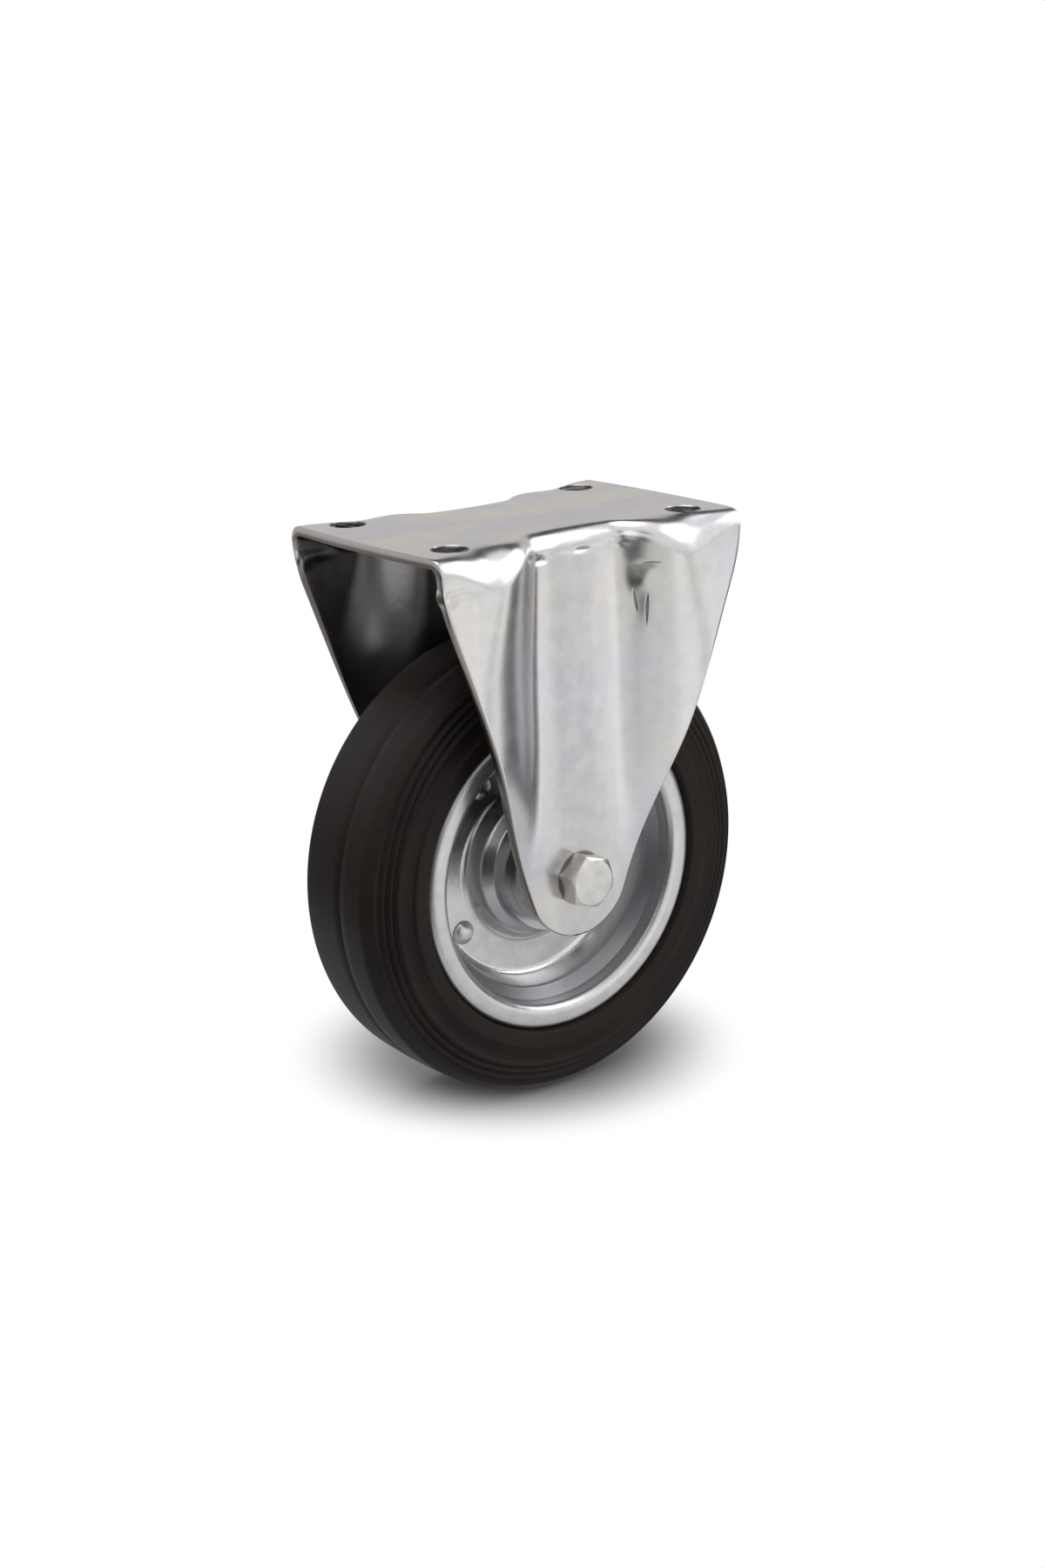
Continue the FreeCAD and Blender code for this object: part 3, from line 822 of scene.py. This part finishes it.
def thread(start, end):
    """A coarse M8 thread with a chamfered end, as a closed shell."""
    turns = int((end - start) / mm / thread_pitch) + 4
    line = []
    for index in range(turns):
        y = start / mm + thread_pitch * (index - 2)
        line += [
            (thread_root, y, 0), (thread_root, y + 0.1 * thread_pitch, 0),
            (thread_crest, y + 0.5 * thread_pitch, 0), (thread_crest, y + 0.62 * thread_pitch, 0)]
    bm = bmesh.new()
    bent_line(bm, line, False)
    bmesh.ops.spin(
        bm, geom=bm.verts[:] + bm.edges[:], cent=axle, axis=axle_way,
        dvec=axle_way * (thread_pitch * mm / thread_steps), angle=2 * math.pi, steps=thread_steps,
        use_merge=False, use_duplicate=False)
    bmesh.ops.remove_doubles(bm, verts=bm.verts[:], dist=0.002 * mm)
    bmesh.ops.holes_fill(bm, edges=bm.edges[:], sides=0)
    bmesh.ops.recalc_face_normals(bm, faces=bm.faces[:])
    piece = finished("thread", bm, fastener_zinc, None, [])
    low, high = start / mm, end / mm
    limits = [
        (0, low, 0), (thread_crest + 1, low, 0), (thread_crest + 1, high - 2.0, 0),
        (thread_crest - 1, high, 0), (0, high, 0)]
    cut(piece, turned(limits, 96, closed=False), "INTERSECT")
    whole = bmesh.new()
    whole.from_mesh(piece.data)
    bpy.data.objects.remove(piece)
    return whole


def make_bolt():
    """Hexagon head on the near cheek, and the shank with its thread on the far side."""
    seat = -panel_face - 0.05 * mm
    head = finished("bolt_head", hexagon(seat, bolt_low.y), fastener_zinc, None, [])
    chamfered(head, bolt_low.y, seat - bolt_low.y)
    top = bmesh.new()
    top.from_mesh(head.data)
    bpy.data.objects.remove(head)
    start = nut_low.y - 3 * mm
    round_bar = bolt_radius / mm
    inside = seat / mm - 1
    shank = [(0, inside, 0), (round_bar, inside, 0), (round_bar, start / mm, 0.4), (0, start / mm, 0)]
    rounds = turned(shank, 96, closed=False)
    whole = joined(top, rounds, thread(start - 1 * mm, bolt_high.y))
    finished("bolt", whole, fastener_zinc, "fork", ["axle_bolt"], sharp=30)


def make_nut():
    """Self-locking nut: chamfered hexagon, round collar rolled in over a nylon ring."""
    seat, top = nut_low.y / mm, nut_high.y / mm
    hex_end = seat + nut_hex
    wide = nut_low.y + (nut_hex + 0.4) * mm
    bar = hexagon(nut_low.y, wide)
    piece = finished("nut_body", bar, fastener_zinc, "fork", ["axle_nut"])
    chamfered(piece, wide, nut_low.y - wide)
    inside = nut_collar - collar_lip
    mouth = inside - 0.8
    collar = [
        (inside - 0.3, hex_end - 1, 0), (nut_collar, hex_end - 1, 0), (nut_collar, top, 0.9),
        (mouth, top, 0.25), (mouth, top - 0.45, 0), (inside, top - 0.6, 0), (inside, top - 2.4, 0),
        (inside - 0.3, top - 2.6, 0)]
    cut(piece, turned(collar, 144), "UNION")
    hole = bolt_radius / mm + 0.05
    bore = [
        (0, seat - 1, 0), (hole + 1.4, seat - 1, 0), (hole, seat + 0.5, 0), (hole, top + 1, 0),
        (0, top + 1, 0)]
    cut(piece, turned(bore, 144, closed=False))
    piece.data.shade_smooth()
    piece.data.set_sharp_from_angle(angle=math.radians(30))
    low, high = insert_low.y / mm, insert_high.y / mm
    outer = insert_high.x / mm
    lock = [(hole, low, 0.3), (outer, low, 0.1), (outer, high, 0.1), (hole, high, 0.4)]
    finished("lock_ring", turned(lock), blue_nylon, "fork", ["nut_insert"])


make_bolt()
make_nut()


def dress(material, *names):
    """Gives CAD nodes a finish."""
    for name in names:
        slots = bpy.data.objects[name].material_slots
        for slot in slots:
            slot.link = "OBJECT"
            slot.material = material


dress(white_nylon, "bearing_cage", "bearing_cap_near", "bearing_cap_far")
dress(ground_steel, *[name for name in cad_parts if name.startswith("roller_")])

# Studio. The camera stands where the photograph's was: turned about the axle, then leaned and rolled
middle = Vector((0, 0, -0.06))
camera_turn = math.radians(-36.79)
camera_rise = math.radians(16.95)
camera_roll = math.radians(-1.62)
camera_distance = 0.64896
camera_aside = Vector((0.93, -19.47)) * mm
camera_lens = 55.01
floor_half = 6.0
# Middle of the painted shadow on the floor, and the distances over which it fades to white
shadow_middle = Vector((7, 17, 0)) * mm
shadow_start = 30 * mm
shadow_end = 67 * mm
# Grey of the floor near the castor, which paints a shadow there
painted_shadow_grey = (0.42, 0.430, 0.427)
floor_glow = 0.02
floor_gleam = 0.85
near_gleam = 0.40
gleam_start = 60 * mm
gleam_end = 220 * mm
room_light = 0.32


def make_camera():
    """The camera, looking at the axle from the photograph's side."""
    back = Vector((
        math.sin(camera_turn) * math.cos(camera_rise),
        -math.cos(camera_turn) * math.cos(camera_rise),
        math.sin(camera_rise)))
    level = Vector((math.cos(camera_turn), math.sin(camera_turn), 0))
    up = back.cross(level)
    right = level * math.cos(camera_roll) + up * math.sin(camera_roll)
    up = up * math.cos(camera_roll) - level * math.sin(camera_roll)
    place = axle + back * camera_distance - right * camera_aside.x - up * camera_aside.y
    lens = bpy.data.cameras.new("camera")
    lens.lens = camera_lens
    lens.sensor_width = 36.0
    lens.clip_start = 0.01
    camera = bpy.data.objects.new("camera", lens)
    camera.matrix_world = Matrix((
        (right.x, up.x, back.x, place.x),
        (right.y, up.y, back.y, place.y),
        (right.z, up.z, back.z, place.z),
        (0, 0, 0, 1)))
    bpy.context.scene.collection.objects.link(camera)
    bpy.context.scene.camera = camera


make_camera()


def stage_piece(name, bm, material):
    """Something of the studio, which isn't part of the castor."""
    mesh = bpy.data.meshes.new(name)
    bm.to_mesh(mesh)
    bm.free()
    mesh.materials.append(material)
    thing = bpy.data.objects.new(name, mesh)
    bpy.context.scene.collection.objects.link(thing)
    return thing


def make_floor():
    """A floor painted grey near the castor, a painted shadow over the real shadow it keeps there, and
    plain white further off; in the metal's reflections it is darker near the castor too.
    """
    finish = Finish(
        "white_floor", Base_Color=(*painted_shadow_grey, 1), Roughness=0.9, Specular_IOR_Level=0.0,
        Emission_Color=(1, 1, 1, 1), Emission_Strength=floor_glow)
    away = finish.away(shadow_middle, (1, 1, 0))
    far = finish.node(
        "ShaderNodeMapRange", {"interpolation_type": "SMOOTHSTEP"},
        {"Value": away, "From Min": shadow_start, "From Max": shadow_end})
    seen = far * finish.ray("Camera")
    bright = finish.node(
        "ShaderNodeMapRange", None,
        {"Value": away, "From Min": gleam_start, "From Max": gleam_end,
         "To Min": near_gleam, "To Max": floor_gleam})
    for kind in ("Glossy", "Transmission"):
        seen = seen + bright * finish.ray(kind)
    white = finish.node("ShaderNodeEmission", None, {"Color": (1, 1, 1, 1), "Strength": 1.0})
    lit = Wire(finish, finish.shader.outputs[0])
    whole = finish.node("ShaderNodeMixShader", None, {0: seen, 1: lit, 2: white})
    finish.tree.links.new(whole.socket, finish.tree.nodes["Material Output"].inputs["Surface"])
    bm = bmesh.new()
    bmesh.ops.create_grid(bm, x_segments=2, y_segments=2, size=floor_half)
    bmesh.ops.translate(bm, verts=bm.verts[:], vec=(0, 0, tyre_low.z))
    stage_piece("floor", bm, finish.material)


def glow(name):
    """A finish that gives light of its own and takes none."""
    return Finish(
        name, Base_Color=(0, 0, 0, 1), Roughness=1.0, Specular_IOR_Level=0.0, Emission_Strength=1.0)


def banded(finish, along, bands):
    """A shade that runs from band to band. bands are (value of along, shade)."""
    shade = bands[0][1]
    for (start, before), (end, after) in zip(bands, bands[1:]):
        shade = shade + (after - before) * finish.sharper(along, start, end)
    return shade


def keep_to_reflections(thing):
    """Shows a card or screen in the metal's reflections and nowhere else."""
    thing.visible_camera = False
    thing.visible_diffuse = False
    thing.visible_shadow = False


def make_card(name, place, size, bands):
    """An upright card for the metal to reflect. bands are (share of its height, shade)."""
    finish = glow(name)
    levels = [((share - 0.5) * size[1], shade) for share, shade in bands]
    finish.give("Emission Color", banded(finish, finish.part("Y"), levels))
    bm = bmesh.new()
    bmesh.ops.create_grid(bm, x_segments=1, y_segments=1, size=0.5)
    bmesh.ops.scale(bm, verts=bm.verts[:], vec=(*size, 1))
    card = stage_piece(name, bm, finish.material)
    way = middle - Vector(place)
    way.z = 0
    card.matrix_world = Matrix.Translation(place) @ way.to_track_quat("Z", "Y").to_matrix().to_4x4()
    keep_to_reflections(card)


def make_screen(name, radius, low, high, bands):
    """A round screen for the metal to reflect. bands are (degrees from -Y toward +X, shade)."""
    finish = glow(name)
    bearing = finish.math("ARCTAN2", finish.part("X"), 0.0 - finish.part("Y"))
    turns = [(math.radians(degrees), shade) for degrees, shade in bands]
    finish.give("Emission Color", banded(finish, bearing, turns))
    bm = bmesh.new()
    first, last = math.radians(bands[0][0]), math.radians(bands[-1][0])
    foot = Vector((radius * math.sin(first), -radius * math.cos(first), low))
    ends = [bm.verts.new(foot), bm.verts.new((foot.x, foot.y, high))]
    edge = bm.edges.new(ends)
    bmesh.ops.spin(
        bm, geom=ends + [edge], cent=(0, 0, 0), axis=(0, 0, 1), dvec=(0, 0, 0), angle=last - first,
        steps=72, use_merge=False, use_duplicate=False)
    screen = stage_piece(name, bm, finish.material)
    keep_to_reflections(screen)


def make_lamp(name, place, side, power):
    """A square softbox that faces the middle of the castor."""
    light = bpy.data.lights.new(name, "AREA")
    light.shape = "SQUARE"
    light.size = side
    light.energy = power
    lamp = bpy.data.objects.new(name, light)
    way = Vector(place) - middle
    lamp.matrix_world = Matrix.Translation(place) @ way.to_track_quat("Z", "Y").to_matrix().to_4x4()
    bpy.context.scene.collection.objects.link(lamp)


make_floor()
make_lamp("overhead", (-0.10, 0.15, 0.98), 0.8, 4.4)
make_lamp("right", (0.80, -0.35, 0.42), 0.9, 4.0)
make_lamp("front_left", (-1.0, -0.7, 0.35), 0.8, 1.2)
make_card(
    "back_card", (0.60, 0.80, 0.82), (2.4, 2.08), [(0.0, 0.66), (0.40, 0.66), (0.45, 0.03), (1.0, 0.03)])
make_card("bolt_card", (-0.36, -0.93, 0.67), (0.36, 0.30), [(0.0, 0.20), (1.0, 0.20)])
make_screen(
    "round_screen", 0.19, tyre_low.z + 1 * mm, -0.035,
    [(-180, 0.32), (-125, 0.28), (-110, 0.04), (-31, 0.04), (-21, 0.80), (6, 0.85), (14, 1.18),
     (28, 1.13), (32, 0.76), (36, 0.80), (40, 0.92), (43, 1.0), (46, 1.35), (50, 1.3), (54, 0.35),
     (60, 0.10), (75, 0.12), (95, 0.17), (115, 0.16), (135, 0.24), (180, 0.32)])
make_screen(
    "inner_screen", 0.188, -0.036, 0.03,
    [(-66, 0.90), (-38, 0.85), (-31, 0.05), (-20, 0.05), (-12, 1.0)])
make_screen("low_screen", 0.12, tyre_low.z + 1 * mm, -0.125, [(-65, 0.26), (-5, 0.26)])


def make_world():
    """White behind the castor and in its reflections, and soft light from all round."""
    world = bpy.data.worlds.new("studio")
    world.use_nodes = True
    bpy.context.scene.world = world
    nodes = Nodes(world.node_tree)
    background = nodes.tree.nodes["Background"]
    background.inputs["Color"].default_value = (1, 1, 1, 1)
    seen = nodes.ray("Camera")
    for kind in ("Glossy", "Transmission"):
        seen = nodes.math("MAXIMUM", seen, nodes.ray(kind))
    strength = room_light + (1 - room_light) * seen
    nodes.tree.links.new(strength.socket, background.inputs["Strength"])


make_world()
bpy.context.scene.view_settings.view_transform = "Standard"
